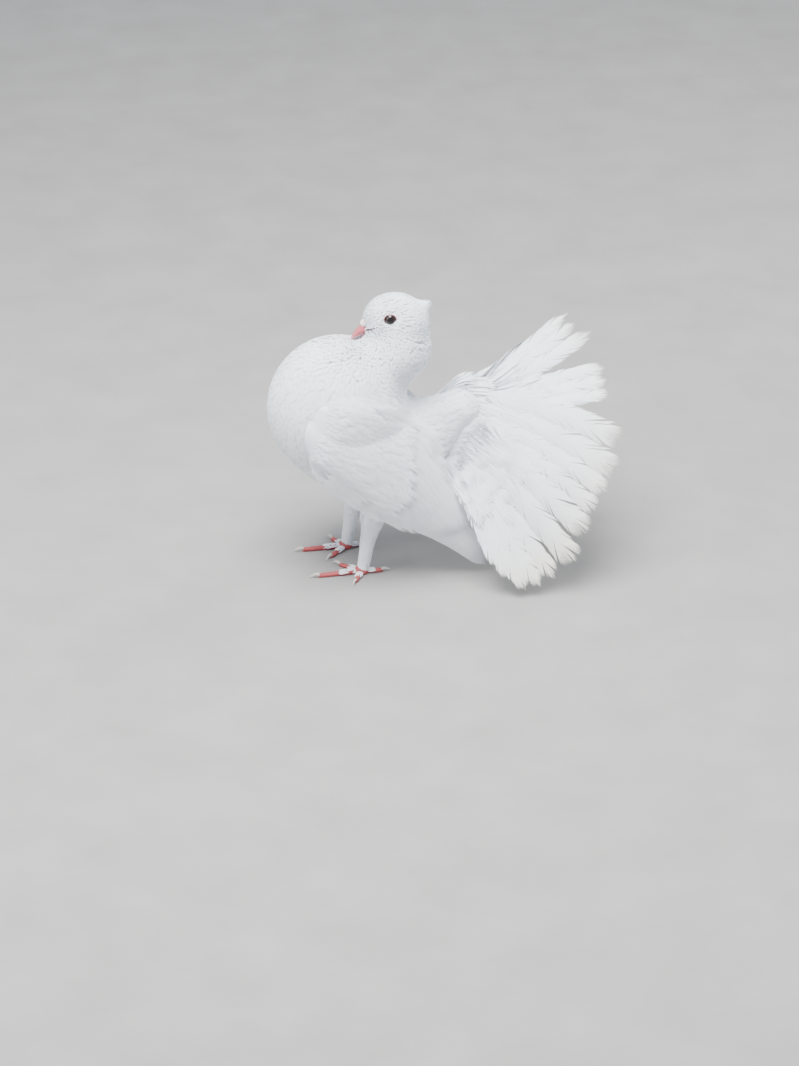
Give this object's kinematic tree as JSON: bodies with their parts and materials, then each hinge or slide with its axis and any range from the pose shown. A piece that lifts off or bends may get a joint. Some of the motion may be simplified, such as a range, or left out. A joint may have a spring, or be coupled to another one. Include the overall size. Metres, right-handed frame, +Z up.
{
  "type": "fantail pigeon",
  "caption": "Life-size still model of a white fantail pigeon standing with head drawn back, puffed breast and ragged drooping tail fan.",
  "frame": {"origin": "middle of the bird's box at the ground that it stands on", "axes": "+Z up, the bird faces -Y, its left side is +X"},
  "size_m": [0.2024, 0.2594, 0.2188],
  "materials": {
    "plumage": "soft white feathers, faintly blue-grey in shade, cream at worn tips",
    "toe_skin": "scaly coral red skin",
    "bill_horn": "smooth pinkish horn",
    "cere_flesh": "powdery pale flesh",
    "eye": "wet, very dark brown",
    "claw_horn": "pale grey horn"
  },
  "bodies": {
    "root": {"head": "plumage", "neck": "plumage", "trunk": "plumage", "wing_left": "plumage", "wing_right": "plumage", "tail_left": "plumage", "tail_upper": "plumage", "tail_middle": "plumage", "tail_right": "plumage", "leg_left": "plumage", "leg_right": "plumage", "foot_left": "toe_skin", "foot_right": "toe_skin", "bill_upper": "bill_horn", "bill_lower": "bill_horn", "cere": "cere_flesh", "eye_left": "eye", "eye_right": "eye", "claw_left_hind": "claw_horn", "claw_left_inner": "claw_horn", "claw_left_middle": "claw_horn", "claw_left_outer": "claw_horn", "claw_right_hind": "claw_horn", "claw_right_inner": "claw_horn", "claw_right_middle": "claw_horn", "claw_right_outer": "claw_horn"}
  },
  "joints": []
}
